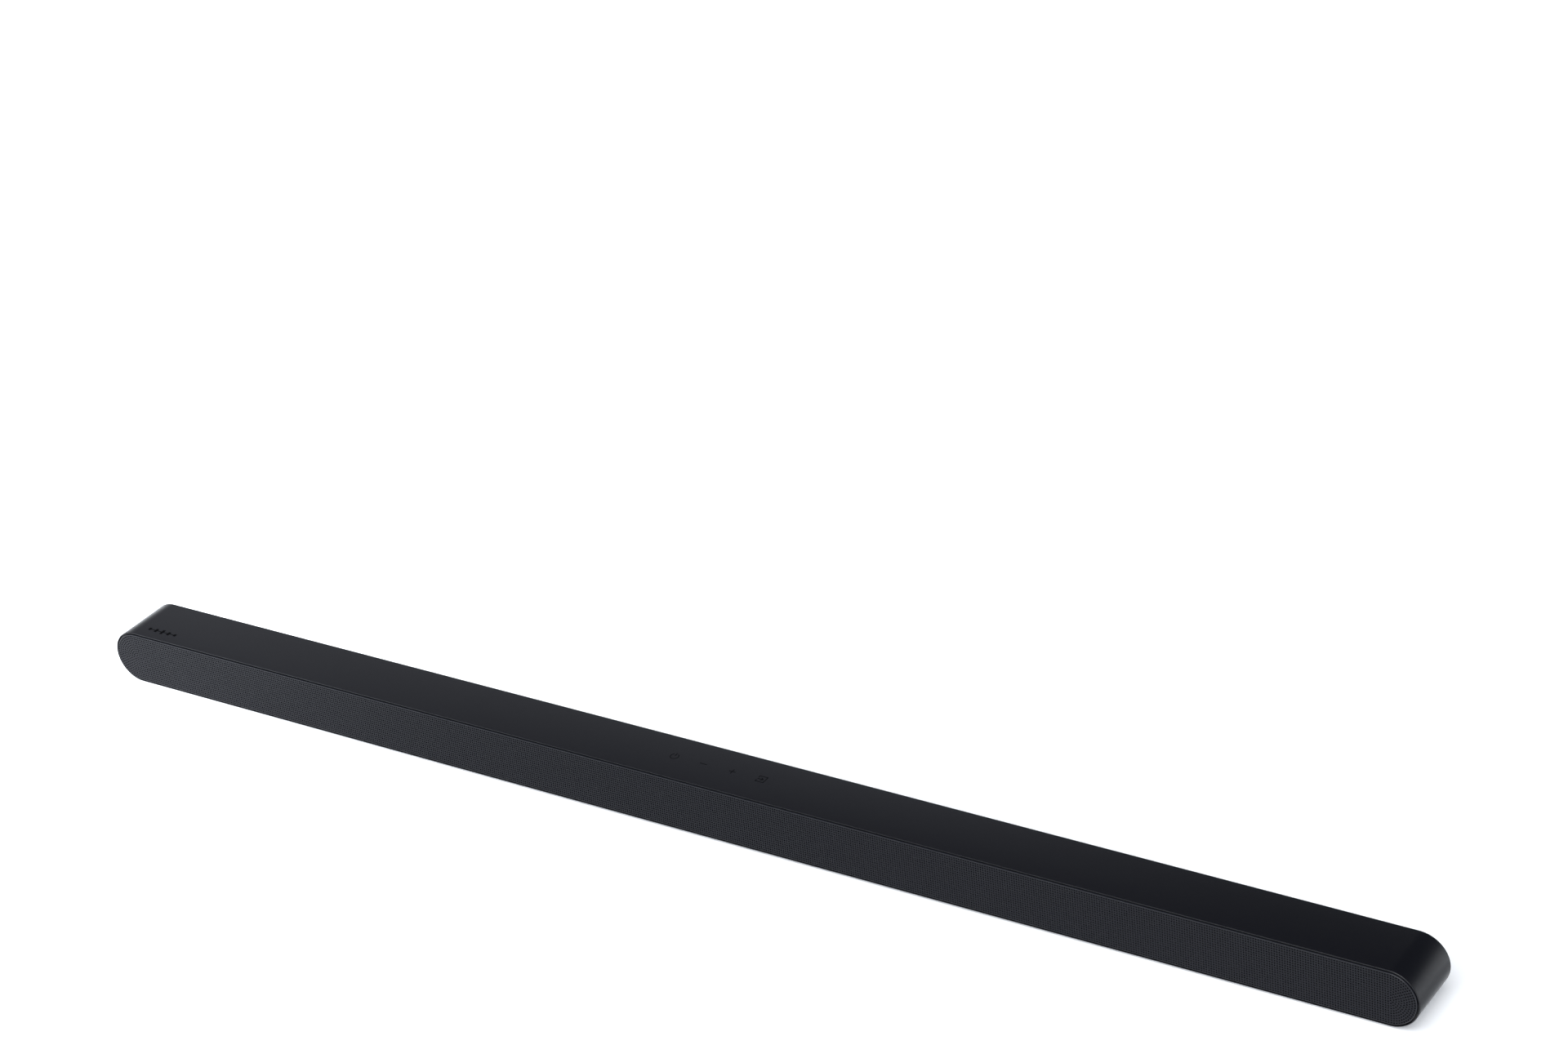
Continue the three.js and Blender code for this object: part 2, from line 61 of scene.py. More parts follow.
# ------------------------------------------------------------------ sizes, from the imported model
SHELL_LOW, SHELL_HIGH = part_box("outer_shell")
GRILLE_LOW, GRILLE_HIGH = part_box("front_grille")
OUTER_R = (SHELL_HIGH.z - SHELL_LOW.z) / 2
AXIS_Z = (SHELL_HIGH.z + SHELL_LOW.z) / 2
END_X = SHELL_HIGH.x - OUTER_R  # centre of each half-round end
FRONT = SHELL_LOW.y
BACK = SHELL_HIGH.y
WALL = 1.4 * MM
INNER_R = OUTER_R - WALL
GRILLE_R = (GRILLE_HIGH.z - GRILLE_LOW.z) / 2
GRILLE_FRONT = GRILLE_LOW.y
GRILLE_BACK = GRILLE_HIGH.y


# ------------------------------------------------------------------ node materials
class Nodes:
    """A material under construction: short calls that add shader nodes and link them."""

    def __init__(self, name, colour, roughness, metallic=0.0, specular=0.5):
        self.material = bpy.data.materials.new(name)
        self.material.use_nodes = True
        self.tree = self.material.node_tree
        self.shader = self.tree.nodes["Principled BSDF"]
        self.shader.inputs["Base Color"].default_value = (*colour, 1)
        self.shader.inputs["Roughness"].default_value = roughness
        self.shader.inputs["Metallic"].default_value = metallic
        self.shader.inputs["Specular IOR Level"].default_value = specular
        self.place = self.add("ShaderNodeTexCoord").outputs["Object"]
        self.bumped = None

    def add(self, kind, **settings):
        node = self.tree.nodes.new(kind)
        for key, value in settings.items():
            setattr(node, key, value)
        return node

    def link(self, source, target):
        self.tree.links.new(source, target)

    def stretched(self, scale):
        mapping = self.add("ShaderNodeMapping")
        mapping.inputs["Scale"].default_value = scale
        self.link(self.place, mapping.inputs["Vector"])
        return mapping.outputs["Vector"]

    def noise(self, scale, detail=3.0, vector=None):
        node = self.add("ShaderNodeTexNoise")
        node.inputs["Scale"].default_value = scale
        node.inputs["Detail"].default_value = detail
        self.link(vector or self.place, node.inputs["Vector"])
        return node.outputs["Fac"]

    def remap(self, value, low, high, from_low=0.3, from_high=0.7):
        node = self.add("ShaderNodeMapRange")
        node.inputs["From Min"].default_value = from_low
        node.inputs["From Max"].default_value = from_high
        node.inputs["To Min"].default_value = low
        node.inputs["To Max"].default_value = high
        self.link(value, node.inputs["Value"])
        return node.outputs["Result"]

    def vary_colour(self, value, dark, light):
        ramp = self.add("ShaderNodeValToRGB")
        ramp.color_ramp.elements[0].position = 0.3
        ramp.color_ramp.elements[1].position = 0.7
        ramp.color_ramp.elements[0].color = (*dark, 1)
        ramp.color_ramp.elements[1].color = (*light, 1)
        self.link(value, ramp.inputs["Fac"])
        self.link(ramp.outputs["Color"], self.shader.inputs["Base Color"])

    def vary_roughness(self, value, low, high):
        self.link(self.remap(value, low, high), self.shader.inputs["Roughness"])

    def bump(self, height, distance, strength=1.0):
        node = self.add("ShaderNodeBump")
        node.inputs["Strength"].default_value = strength
        node.inputs["Distance"].default_value = distance
        self.link(height, node.inputs["Height"])
        if self.bumped:
            self.link(self.bumped, node.inputs["Normal"])
        self.bumped = node.outputs["Normal"]
        self.link(self.bumped, self.shader.inputs["Normal"])


def scaled(colour, factor):
    return tuple(channel * factor for channel in colour)


def satin_casing():
    m = Nodes("casing_satin", CASING_GREY, 0.33, specular=0.45)
    m.vary_colour(m.noise(1800, 2), scaled(CASING_GREY, 0.9), scaled(CASING_GREY, 1.1))
    m.vary_roughness(m.noise(1100, 3), 0.32, 0.35)
    m.bump(m.noise(2600, 2), 0.00003, 0.5)
    return m.material


def painted_grille(name, colour, roughness, specular):
    m = Nodes(name, colour, roughness, specular=specular)
    m.vary_colour(m.noise(40, 3), scaled(colour, 0.93), scaled(colour, 1.07))
    m.vary_roughness(m.noise(300, 3), roughness - 0.03, roughness + 0.05)
    m.bump(m.noise(3500, 2), 0.00002, 0.4)
    return m.material


def moulded_plastic(name, colour, roughness=0.55, texture=0.00005):
    m = Nodes(name, colour, roughness)
    m.vary_colour(m.noise(25, 4), scaled(colour, 0.85), scaled(colour, 1.15))
    m.vary_roughness(m.noise(90, 3), roughness - 0.05, roughness + 0.06)
    m.bump(m.noise(1400, 4), texture, 0.6)
    return m.material


def woven_scrim(name, colour, threads_per_metre):
    m = Nodes(name, colour, 0.95, specular=0.2)
    waves = []
    for axis in ("X", "Z"):
        wave = m.add("ShaderNodeTexWave", wave_type="BANDS", bands_direction=axis, wave_profile="SIN")
        wave.inputs["Scale"].default_value = threads_per_metre / 20
        m.link(m.stretched((20, 20, 20)), wave.inputs["Vector"])
        waves.append(wave.outputs["Fac"])
    weave = m.add("ShaderNodeMath", operation="MULTIPLY")
    m.link(waves[0], weave.inputs[0])
    m.link(waves[1], weave.inputs[1])
    m.vary_colour(weave.outputs["Value"], scaled(colour, 0.4), scaled(colour, 1.6))
    m.bump(weave.outputs["Value"], 0.0001, 0.8)
    m.shader.inputs["Sheen Weight"].default_value = 0.15
    return m.material


def soft_rubber():
    m = Nodes("rubber_matt", (0.012, 0.012, 0.012), 0.85, specular=0.35)
    m.vary_colour(m.noise(200, 4), (0.009, 0.009, 0.009), (0.017, 0.017, 0.017))
    m.vary_roughness(m.noise(150, 3), 0.78, 0.92)
    m.bump(m.noise(2200, 3), 0.00004, 0.5)
    return m.material


def printed_ink(name, colour, roughness, specular):
    m = Nodes(name, colour, roughness, specular=specular)
    m.vary_colour(m.noise(900, 3), scaled(colour, 0.8), scaled(colour, 1.25))
    m.vary_roughness(m.noise(700, 2), roughness - 0.04, roughness + 0.05)
    m.bump(m.noise(5000, 2), 0.00001, 0.3)
    return m.material


def circuit_board():
    m = Nodes("circuit_board", (0.012, 0.06, 0.03), 0.4)
    tracks = m.add("ShaderNodeTexBrick")
    tracks.inputs["Scale"].default_value = 260
    tracks.inputs["Mortar Size"].default_value = 0.08
    tracks.inputs["Color1"].default_value = (0.010, 0.055, 0.028, 1)
    tracks.inputs["Color2"].default_value = (0.014, 0.07, 0.034, 1)
    tracks.inputs["Mortar"].default_value = (0.03, 0.13, 0.06, 1)
    m.link(m.place, tracks.inputs["Vector"])
    m.link(tracks.outputs["Color"], m.shader.inputs["Base Color"])
    m.bump(tracks.outputs["Fac"], 0.00003, 0.6)
    m.vary_roughness(m.noise(120, 3), 0.35, 0.48)
    return m.material


def brushed_metal(name, colour, roughness, direction):
    m = Nodes(name, colour, roughness, metallic=1.0)
    lines = m.noise(1200, 4, m.stretched(direction))
    m.vary_colour(lines, scaled(colour, 0.85), colour)
    m.vary_roughness(lines, roughness - 0.08, roughness + 0.1)
    m.bump(lines, 0.00002, 0.4)
    return m.material


CASING_GREY = (0.0043, 0.0047, 0.0074)
GRILLE_GREY = (0.0056, 0.0062, 0.0104)
EDGE_HIGHLIGHT_GREY = (0.013, 0.014, 0.019)  # painted highlight: the rolled-over edge is coloured lighter than the grille paint
LOOKS = {
    "casing": satin_casing(),
    "grille": painted_grille("grille_paint", GRILLE_GREY, 0.45, 0.25),
    "black_plastic": moulded_plastic("black_plastic", (0.008, 0.008, 0.009)),
    "cloth": woven_scrim("acoustic_scrim", (0.004, 0.004, 0.0045), 2200),
    "rubber": soft_rubber(),
    "inlay": printed_ink("inlay_black", (0.0012, 0.0013, 0.0018), 0.65, specular=0.06),
    "board": circuit_board(),
    "aluminium": brushed_metal("aluminium_mill", (0.62, 0.63, 0.65), 0.38, (0.02, 1, 1)),
    "steel": brushed_metal("plated_steel", (0.45, 0.46, 0.48), 0.32, (1, 0.03, 1)),
    "cone": woven_scrim("cone_weave", (0.012, 0.012, 0.013), 900),
    "dome": woven_scrim("silk_dome", (0.022, 0.018, 0.015), 3200),
    "screw": brushed_metal("black_zinc", (0.03, 0.03, 0.032), 0.4, (1, 1, 0.2)),
    "cable": moulded_plastic("cable_sleeve", (0.012, 0.012, 0.013), 0.6, 0.00008),
}
SYMBOL_INK = printed_ink("symbol_ink", (0.0012, 0.0013, 0.0018), 0.6, specular=0.12)
# The rolled edge's paint: its lighter colour is a painted highlight, and its lower roughness and higher
# specular make it glossier.
EDGE_HIGHLIGHT_PAINT = painted_grille("grille_edge_highlight_paint", EDGE_HIGHLIGHT_GREY, 0.36, 0.6)


# ------------------------------------------------------------------ meshes
def new_piece(name, vertices, faces, slot, body="casing", smooth_angle=40, material=None):
    mesh = bpy.data.meshes.new(name)
    mesh.from_pydata(vertices, [], faces)
    mesh.validate()
    mesh.shade_smooth()
    mesh.set_sharp_from_angle(angle=math.radians(smooth_angle))
    mesh.materials.append(material or LOOKS[slot])
    piece = bpy.data.objects.new(name, mesh)
    bpy.context.scene.collection.objects.link(piece)
    if body:  # a piece that bends between two bodies rides on neither
        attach(piece, body)
    return piece


def face_outwards(piece):
    bm = bmesh.new()
    bm.from_mesh(piece.data)
    bmesh.ops.recalc_face_normals(bm, faces=bm.faces)
    bm.to_mesh(piece.data)
    bm.free()


def racetrack(steps, middle=0.0, half_straight=END_X):
    """Points round a racetrack as (centre x, cos, sin): right end, then left end."""
    outline = []
    for side in (1, -1):
        for i in range(steps + 1):
            angle = math.pi * (i / steps - 0.5)
            outline.append((middle + side * half_straight, side * math.cos(angle), side * math.sin(angle)))
    return outline


def swept(profile, outline):
    """Vertices and faces of a closed profile of (radius, y) carried round a racetrack."""
    vertices = []
    for centre, across, up in outline:
        vertices += [(centre + r * across, y, AXIS_Z + r * up) for r, y in profile]
    n, turns = len(profile), len(outline)
    faces = []
    for j in range(turns):
        a, b = j * n, (j + 1) % turns * n
        faces += [(a + i, b + i, b + (i + 1) % n, a + (i + 1) % n) for i in range(n)]
    return vertices, faces


def rounded(centre_r, centre_y, radius, start, end, steps=6):
    """An arc of a profile; the angles are in degrees from the outward direction towards the back."""
    return [
        (centre_r + radius * math.cos(math.radians(a)), centre_y + radius * math.sin(math.radians(a)))
        for a in np.linspace(start, end, steps + 1)
    ]


# ------------------------------------------------------------------ casing
def outer_shell():
    """The sleeve; its wall is thinned at its front edge, so a wide dark groove runs round the grille."""
    front_lip, back_lip, inner_lip = 0.5 * MM, 1.0 * MM, 0.12 * MM  # radii of the rounded edges
    edge, edge_depth = 0.75 * MM, 2.4 * MM
    ledge_r = 20.2 * MM  # inner radius of the two ledges that the baffle and the rear cover rest on
    front_ledge = (-16.5 * MM, -14.5 * MM)
    back_ledge = (20.3 * MM, 22.3 * MM)
    profile = rounded(OUTER_R - front_lip, FRONT + front_lip, front_lip, -90, 0, 8)
    profile += rounded(OUTER_R - back_lip, BACK - back_lip, back_lip, 0, 90, 8)
    profile += rounded(INNER_R + inner_lip, BACK - inner_lip, inner_lip, 90, 180, 2)
    profile += [(INNER_R, back_ledge[1]), (ledge_r, back_ledge[1]), (ledge_r, back_ledge[0])]
    profile += [(INNER_R, back_ledge[0]), (INNER_R, front_ledge[1]), (ledge_r, front_ledge[1])]
    profile += [(ledge_r, front_ledge[0]), (INNER_R, front_ledge[0]), (INNER_R, FRONT + edge_depth)]
    profile += [(OUTER_R - edge, FRONT + edge_depth)]
    profile += rounded(OUTER_R - edge + inner_lip, FRONT + inner_lip, inner_lip, 180, 270, 2)
    piece = new_piece("casing_sleeve", *swept(profile, racetrack(steps=72)), "casing", smooth_angle=35)
    face_outwards(piece)
    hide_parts("outer_shell")
    return piece


outer_shell()

# ------------------------------------------------------------------ perforated grille
ROWS = 21
COLUMNS = 570
PITCH = 2 * END_X / (COLUMNS - 1)
HOLE_R = 0.65 * MM
HOLE_SIDES = 12
WITHIN_HOLE = 0.97  # a triangle whose middle is nearer than this share of the radius fills a hole
SHEET = 0.6 * MM
FIELD_R = (ROWS / 2) * PITCH  # flat part of the sheet, inside its rounded edge
EDGE = GRILLE_R - FIELD_R
SECTIONS = ("left", "centre_left", "centre_right", "right")
HOLE_ANGLES = [(k + 0.5) * 2 * math.pi / HOLE_SIDES for k in range(HOLE_SIDES)]
RIM_STEPS = 48


class Sheet:
    """One stretch of the grille. Flat points are (x, z) about the axis, each a front and a back vertex."""

    def __init__(self):
        self.flat = []
        self.at = {}
        self.front_faces = []
        self.walls = []

    def point(self, x, z):
        key = (round(x * 1e7), round(z * 1e7))
        if key not in self.at:
            self.at[key] = len(self.flat)
            self.flat.append((x, z))
        return self.at[key]

    def hole(self, x, z, turn=0.0):
        ring = [
            self.point(x + HOLE_R * math.cos(a + turn), z + HOLE_R * math.sin(a + turn)) for a in HOLE_ANGLES
        ]
        self.walls += [(ring[k], ring[(k + 1) % HOLE_SIDES]) for k in range(HOLE_SIDES)]
        return ring

    def square_cell(self, x, z, corners):
        """A square of the sheet round one hole; corners run anticlockwise from the upper right."""
        ring = self.hole(x, z)
        per_corner = HOLE_SIDES // 4
        for k in range(HOLE_SIDES):
            following = (k + 1) % HOLE_SIDES
            corner, next_corner = corners[k // per_corner], corners[following // per_corner]
            if corner == next_corner:
                self.front_faces.append((corner, ring[following], ring[k]))
            else:
                self.front_faces.append((corner, next_corner, ring[following], ring[k]))

    def mesh(self, rim):
        """Front, back and hole walls, and the rolled edge along each list of rim points."""
        count = len(self.flat)
        front = [(x, GRILLE_FRONT, AXIS_Z + z) for x, z in self.flat]
        back = [(x, GRILLE_FRONT + SHEET, AXIS_Z + z) for x, z in self.flat]
        vertices = front + back
        faces = [tuple(face) for face in self.front_faces]
        faces += [tuple(count + i for i in reversed(face)) for face in self.front_faces]
        faces += [(a, b, count + b, count + a) for a, b in self.walls]
        first_edge_face = len(faces)
        for line in rim:
            self.roll_edge(line, vertices, faces)
        return vertices, faces, first_edge_face

    def roll_edge(self, line, vertices, faces):
        """The quarter-round edge outside a line of rim points, its skirt, and the return behind the sheet."""
        depth = GRILLE_BACK - GRILLE_FRONT
        turns = np.linspace(0, math.pi / 2, 5)[1:]
        profile = [(EDGE * math.sin(a), EDGE * (1 - math.cos(a))) for a in turns]
        profile += [(EDGE, depth), (0, depth)]
        rows = []
        for x, z in line:
            centre = max(-END_X, min(END_X, x))
            out = Vector((x - centre, z)).normalized()
            first = len(vertices)
            for reach, back in profile:
                vertices.append((x + out.x * reach, GRILLE_FRONT + back, AXIS_Z + z + out.y * reach))
            i = self.point(x, z)
            rows.append([i] + list(range(first, first + len(profile))) + [i + len(self.flat)])
        for a, b in zip(rows, rows[1:]):
            faces += [(a[k], b[k], b[k + 1], a[k + 1]) for k in range(len(a) - 1)]


def column_edge(column):
    """x of the line between column - 1 and column."""
    return -END_X + (column - 0.5) * PITCH


def edge_height(column, row):
    """Height of the lattice corner at that line; the outermost ones lie on the end's arc."""
    z = (row - ROWS / 2) * PITCH
    past_centre = max(0.0, abs(column_edge(column)) - END_X)
    limit = math.sqrt(FIELD_R**2 - past_centre**2)
    return max(-limit, min(limit, z))


def straight_columns(sheet, first, last):
    """The square lattice of holes, from column first up to, not including, column last."""
    for column in range(first, last):
        x = -END_X + column * PITCH
        lines = [
            [sheet.point(column_edge(c), edge_height(c, row)) for row in range(ROWS + 1)]
            for c in (column, column + 1)
        ]
        for row in range(ROWS):
            corners = (lines[1][row + 1], lines[0][row + 1], lines[0][row], lines[1][row])
            sheet.square_cell(x, (row - (ROWS - 1) / 2) * PITCH, corners)


def rounded_end(sheet, side):
    """The half-round end: rings of holes about the arc's centre, ring k in 3k steps over the half turn."""
    edge_column = COLUMNS if side > 0 else 0
    centre = Vector((side * END_X, 0))
    arc = end_arc(side)
    lattice = [(column_edge(edge_column), edge_height(edge_column, row)) for row in range(ROWS + 1)]
    border = arc + [p for p in reversed(lattice[1:-1])]
    loops = [[sheet.point(*p) for p in border]]
    centres = []
    for k in range(1, (ROWS - 1) // 2 + 1):
        for step in range(1, 3 * k):
            angle = math.pi * (step / (3 * k) - 0.5)
            x, z = centre.x + side * k * PITCH * math.cos(angle), k * PITCH * math.sin(angle)
            loops.append(sheet.hole(x, z, angle if side > 0 else math.pi - angle))
            centres.append((x, z))
    points = [Vector(sheet.flat[i]) for loop in loops for i in loop]
    names = [i for loop in loops for i in loop]
    edges = []
    start = 0
    for loop in loops:
        edges += [(start + i, start + (i + 1) % len(loop)) for i in range(len(loop))]
        start += len(loop)
    _, _, triangles, origin, _, _ = delaunay_2d_cdt(points, edges, [list(range(len(border)))], 1, 1e-8)
    holes = np.array(centres)
    for triangle in triangles:
        middle = sum((points[origin[i][0]] for i in triangle), Vector((0, 0))) / 3
        nearest_hole = np.hypot(holes[:, 0] - middle.x, holes[:, 1] - middle.y).min()
        if nearest_hole > HOLE_R * WITHIN_HOLE:
            sheet.front_faces.append(tuple(names[origin[i][0]] for i in reversed(triangle)))


def end_arc(side):
    """Rim points of one end, from the bottom lattice corner to the top one."""
    past = column_edge(COLUMNS) - END_X
    first = math.acos(past / FIELD_R)
    return [
        (side * (END_X + FIELD_R * math.cos(a)), FIELD_R * math.sin(a))
        for a in np.linspace(-first, first, RIM_STEPS + 1)
    ]


def grille():
    cuts = [round(i * COLUMNS / len(SECTIONS)) for i in range(len(SECTIONS) + 1)]
    for name, first, last in zip(SECTIONS, cuts, cuts[1:]):
        sheet = Sheet()
        straight_columns(sheet, first, last)
        columns = range(first, last + 1)
        rim = [
            [(column_edge(c), edge_height(c, 0)) for c in columns],
            [(column_edge(c), edge_height(c, ROWS)) for c in reversed(columns)],
        ]
        if first == 0:
            rounded_end(sheet, -1)
            rim.append(list(reversed(end_arc(-1))))
        if last == COLUMNS:
            rounded_end(sheet, 1)
            rim.append(end_arc(1))
        vertices, faces, first_edge_face = sheet.mesh(rim)
        piece = new_piece("grille_" + name, vertices, faces, "grille", smooth_angle=50)
        # The rolled edge faces take the lighter paint, a painted highlight along the rim.
        piece.data.materials.append(EDGE_HIGHLIGHT_PAINT)
        for polygon in piece.data.polygons[first_edge_face:]:
            polygon.material_index = 1
        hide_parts("front_grille")


grille()


# ------------------------------------------------------------------ acoustic scrim behind the grille
def scrim():
    """A thin closed cloth with half-round ends, in columns of points that run from bottom to top."""
    low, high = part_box("grille_scrim")
    radius = (high.z - low.z) / 2
    end_x = high.x - radius
    turns = [math.radians(a) for a in np.linspace(88.5, 0, 24)]  # a full 90 would leave a column no height
    rounded_part = [(end_x + radius * math.sin(a), radius * math.cos(a)) for a in turns]
    straight = [(x, radius) for x in np.linspace(end_x, -end_x, 90)[1:-1]]
    stations = rounded_part + straight + [(-x, half) for x, half in reversed(rounded_part)]
    heights = np.linspace(-1, 1, 9)
    rows = len(heights)
    vertices = [(x, y, AXIS_Z + half * v) for y in (low.y, high.y) for x, half in stations for v in heights]
    back = len(stations) * rows
    faces = []
    for i in range(len(stations) - 1):
        a, b = i * rows, (i + 1) * rows
        for k in range(rows - 1):
            faces.append((a + k, a + k + 1, b + k + 1, b + k))
            faces.append((back + a + k, back + b + k, back + b + k + 1, back + a + k + 1))
        top_a, top_b = a + rows - 1, b + rows - 1
        faces += [(a, b, back + b, back + a), (top_b, top_a, back + top_a, back + top_b)]
    for a in (0, (len(stations) - 1) * rows):
        faces += [(a + k, a + k + 1, back + a + k + 1, back + a + k) for k in range(rows - 1)]
    piece = new_piece("scrim_cloth", vertices, faces, "cloth")
    face_outwards(piece)
    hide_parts("grille_scrim")


scrim()

# ------------------------------------------------------------------ marks on the top
TOP = SHELL_HIGH.z
INK = 0.04 * MM
SHARPEST_MITRE = 0.3  # keeps the corner of a sharp turn from running out to a spike


def strip(points, width):
    """The left and right edge of a line of the given width, as pairs of points."""
    directions = [(b - a).normalized() for a, b in zip(points, points[1:])]
    pairs = []
    for i, p in enumerate(points):
        meeting = directions[max(0, i - 1) : i + 1]
        along = sum(meeting, Vector((0, 0))).normalized()
        across = Vector((-along.y, along.x))
        spread = width / 2 / max(SHARPEST_MITRE, along.dot(meeting[0]))
        pairs.append((p + across * spread, p - across * spread))
    return pairs


def ink_line(vertices, faces, points, width):
    """Adds a bar of ink along the points, standing INK proud of the casing's top and as deep in it."""
    pairs = strip([Vector(p) for p in points], width)
    base = len(vertices)
    for left, right in pairs:
        for p, z in ((left, TOP - INK), (left, TOP + INK), (right, TOP + INK), (right, TOP - INK)):
            vertices.append((p.x, p.y, z))
    last = base + 4 * (len(pairs) - 1)
    for a in range(base, last, 4):
        faces += [(a + k, a + 4 + k, a + 4 + (k + 1) % 4, a + (k + 1) % 4) for k in range(4)]
    faces += [(base, base + 1, base + 2, base + 3), (last + 3, last + 2, last + 1, last)]


def symbols():
    """Power, minus, plus and source, from left to right."""
    pitch, first, y = 26.1 * MM, -38.9 * MM, 0.7 * MM
    stroke = 0.7 * MM
    power, minus, plus, source = [first + i * pitch for i in range(4)]
    vertices, faces = [], []
    radius = 3.3 * MM
    turns = [math.radians(a) for a in np.linspace(122, 418, 30)]
    ring = [(power + radius * math.cos(a), y + radius * math.sin(a)) for a in turns]
    ink_line(vertices, faces, ring, stroke)
    ink_line(vertices, faces, [(power, y + 0.6 * MM), (power, y + 4.2 * MM)], stroke)
    half = 3.1 * MM
    ink_line(vertices, faces, [(minus - half, y), (minus + half, y)], stroke)
    half = 2.95 * MM
    ink_line(vertices, faces, [(plus - half, y), (plus + half, y)], stroke)
    ink_line(vertices, faces, [(plus, y - half), (plus, y - stroke / 2)], stroke)
    ink_line(vertices, faces, [(plus, y + stroke / 2), (plus, y + half)], stroke)
    u, v, gap = 3.45 * MM, 3.6 * MM, 1.6 * MM
    bracket = [(-u, gap), (-u, v), (u, v), (u, -v), (-u, -v), (-u, -gap)]
    ink_line(vertices, faces, [(source + px, y + py) for px, py in bracket], stroke)
    ink_line(vertices, faces, [(source - u, y), (source + 1.2 * MM, y)], stroke)
    head = [(-0.6, 1.7), (1.3, 0), (-0.6, -1.7)]
    ink_line(vertices, faces, [(source + px * MM, y + py * MM) for px, py in head], stroke)
    piece = new_piece("touch_symbols", vertices, faces, "inlay", material=SYMBOL_INK)
    face_outwards(piece)


def level_mark():
    """Five upright bars on a thin line, longest in the middle."""
    low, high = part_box("badge")
    middle_x, middle_y = (low.x + high.x) / 2, (low.y + high.y) / 2
    pitch, width = 6.6 * MM, 2.4 * MM
    vertices, faces = [], []
    for i, height in enumerate((3, 4.6, 6, 4.6, 3)):
        x = middle_x + (i - 2) * pitch
        half = height / 2 * MM
        ink_line(vertices, faces, [(x, middle_y - half), (x, middle_y + half)], width)
    for i in range(4):
        x = middle_x + (i - 1.5) * pitch
        reach = (pitch - width) / 2
        ink_line(vertices, faces, [(x - reach, middle_y), (x + reach, middle_y)], 0.8 * MM)
    piece = new_piece("level_mark", vertices, faces, "inlay")
    face_outwards(piece)
    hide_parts("badge")


symbols()
level_mark()

# ------------------------------------------------------------------ woofer surrounds
ROLL_LINE = (  # middle of the rubber, as (radius, y) in millimetres: cone rim, roll, basket flange
    (12.2, -14.05), (12.65, -14.2), (12.9, -15.0), (13.05, -16.1), (13.2, -16.85), (13.5, -17.2),
    (13.8, -16.85), (13.95, -16.35), (14.3, -16.15), (15.1, -16.15),
)
RUBBER = 0.4  # millimetres thick
WOOFERS = 6


def smooth_line(points, per_span=4):
    """A curve through the points, rounded at each one (Catmull-Rom)."""
    p = [Vector(points[0])] + [Vector(q) for q in points] + [Vector(points[-1])]
    line = []
    for a, b, c, d in zip(p, p[1:], p[2:], p[3:]):
        square, cube = 2 * a - 5 * b + 4 * c - d, 3 * b - a - 3 * c + d
        for t in (i / per_span for i in range(per_span)):
            line.append(0.5 * (2 * b + (c - a) * t + square * t**2 + cube * t**3))
    return line + [p[-1]]


def woofer_surround(number):
    """The rubber roll between a basket's flange and its cone, left on neither body; the real roll bends as
    the cone moves.
    """
    low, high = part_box(f"woofer_{number}_surround")
    middle = (low.x + high.x) / 2
    half_straight = (high.x - low.x - (high.z - low.z)) / 2
    edges = strip(smooth_line(ROLL_LINE), RUBBER)
    profile = [p * MM for p, _ in edges] + [q * MM for _, q in reversed(edges)]
    outline = racetrack(steps=32, middle=middle, half_straight=half_straight)
    mesh = swept([tuple(p) for p in profile], outline)
    piece = new_piece(f"woofer_{number}_roll", *mesh, "rubber", body=None)
    face_outwards(piece)
    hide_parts(f"woofer_{number}_surround")
    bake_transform(piece)


for number in range(1, WOOFERS + 1):
    woofer_surround(number)

# ------------------------------------------------------------------ finishes of the carried-over pieces
for subpart in frame["record"]["subparts"]:
    mesh = NODES[subpart["node"]].data
    mesh.materials.clear()
    mesh.materials.append(LOOKS[subpart["material_slot"]])


# ------------------------------------------------------------------ camera, floor and light
CAMERA_ANGLES = (35.189, 28.592, -6.039)  # azimuth from the front, elevation and roll, in degrees
CAMERA_OFFSET = (-48.1 * MM, -204.2 * MM)  # of the bar's middle, right and up from the line of sight
CAMERA_DISTANCE = 2862.0 * MM
LENS = 87.32  # on a sensor 36 wide
KEY_ANGLES = (18, 58)
KEY_SPREAD = 50
KEY_STRENGTH = 3.2
FLOOR_HALF = 6.0
FLOOR_GLOW = (1.6, 1.4, 0.85, 0.42, 0.30, 0.28, 0.32, 0.35, 0.3)  # at even steps of x, over GLOW_REACH
GLOW_REACH = (-0.8, 0.8)
CARD_LOW, CARD_HIGH, CARD_Z = (0.583, -0.05), (0.635, 0.085), 0.0005
HORIZON, OVERHEAD = 0.03, 0.42  # heights of the world's directions where its glow starts to fade and ends


def direction(azimuth, elevation):
    """Unit vector towards the given place in the sky; azimuth 0 is the front, and 90 the right end."""
    azimuth, elevation = math.radians(azimuth), math.radians(elevation)
    level = math.cos(elevation)
    return Vector((math.sin(azimuth) * level, -math.cos(azimuth) * level, math.sin(elevation)))


def camera():
    azimuth, elevation, roll = CAMERA_ANGLES
    back = direction(azimuth, elevation)
    right = Vector((0, 0, 1)).cross(back).normalized()
    up = back.cross(right)
    tilt = Matrix.Rotation(math.radians(roll), 3, back)
    right, up = tilt @ right, tilt @ up
    data = bpy.data.cameras.new("camera")
    data.sensor_width = 36
    data.lens = LENS
    data.clip_end = 50
    eye = bpy.data.objects.new("camera", data)
    turn = Matrix((right, up, back)).transposed()
    sideways, upwards = CAMERA_OFFSET
    place = Vector((0, 0, AXIS_Z)) - right * sideways - up * upwards + back * CAMERA_DISTANCE
    eye.matrix_world = Matrix.Translation(place) @ turn.to_4x4()
    bpy.context.scene.collection.objects.link(eye)
    bpy.context.scene.camera = eye


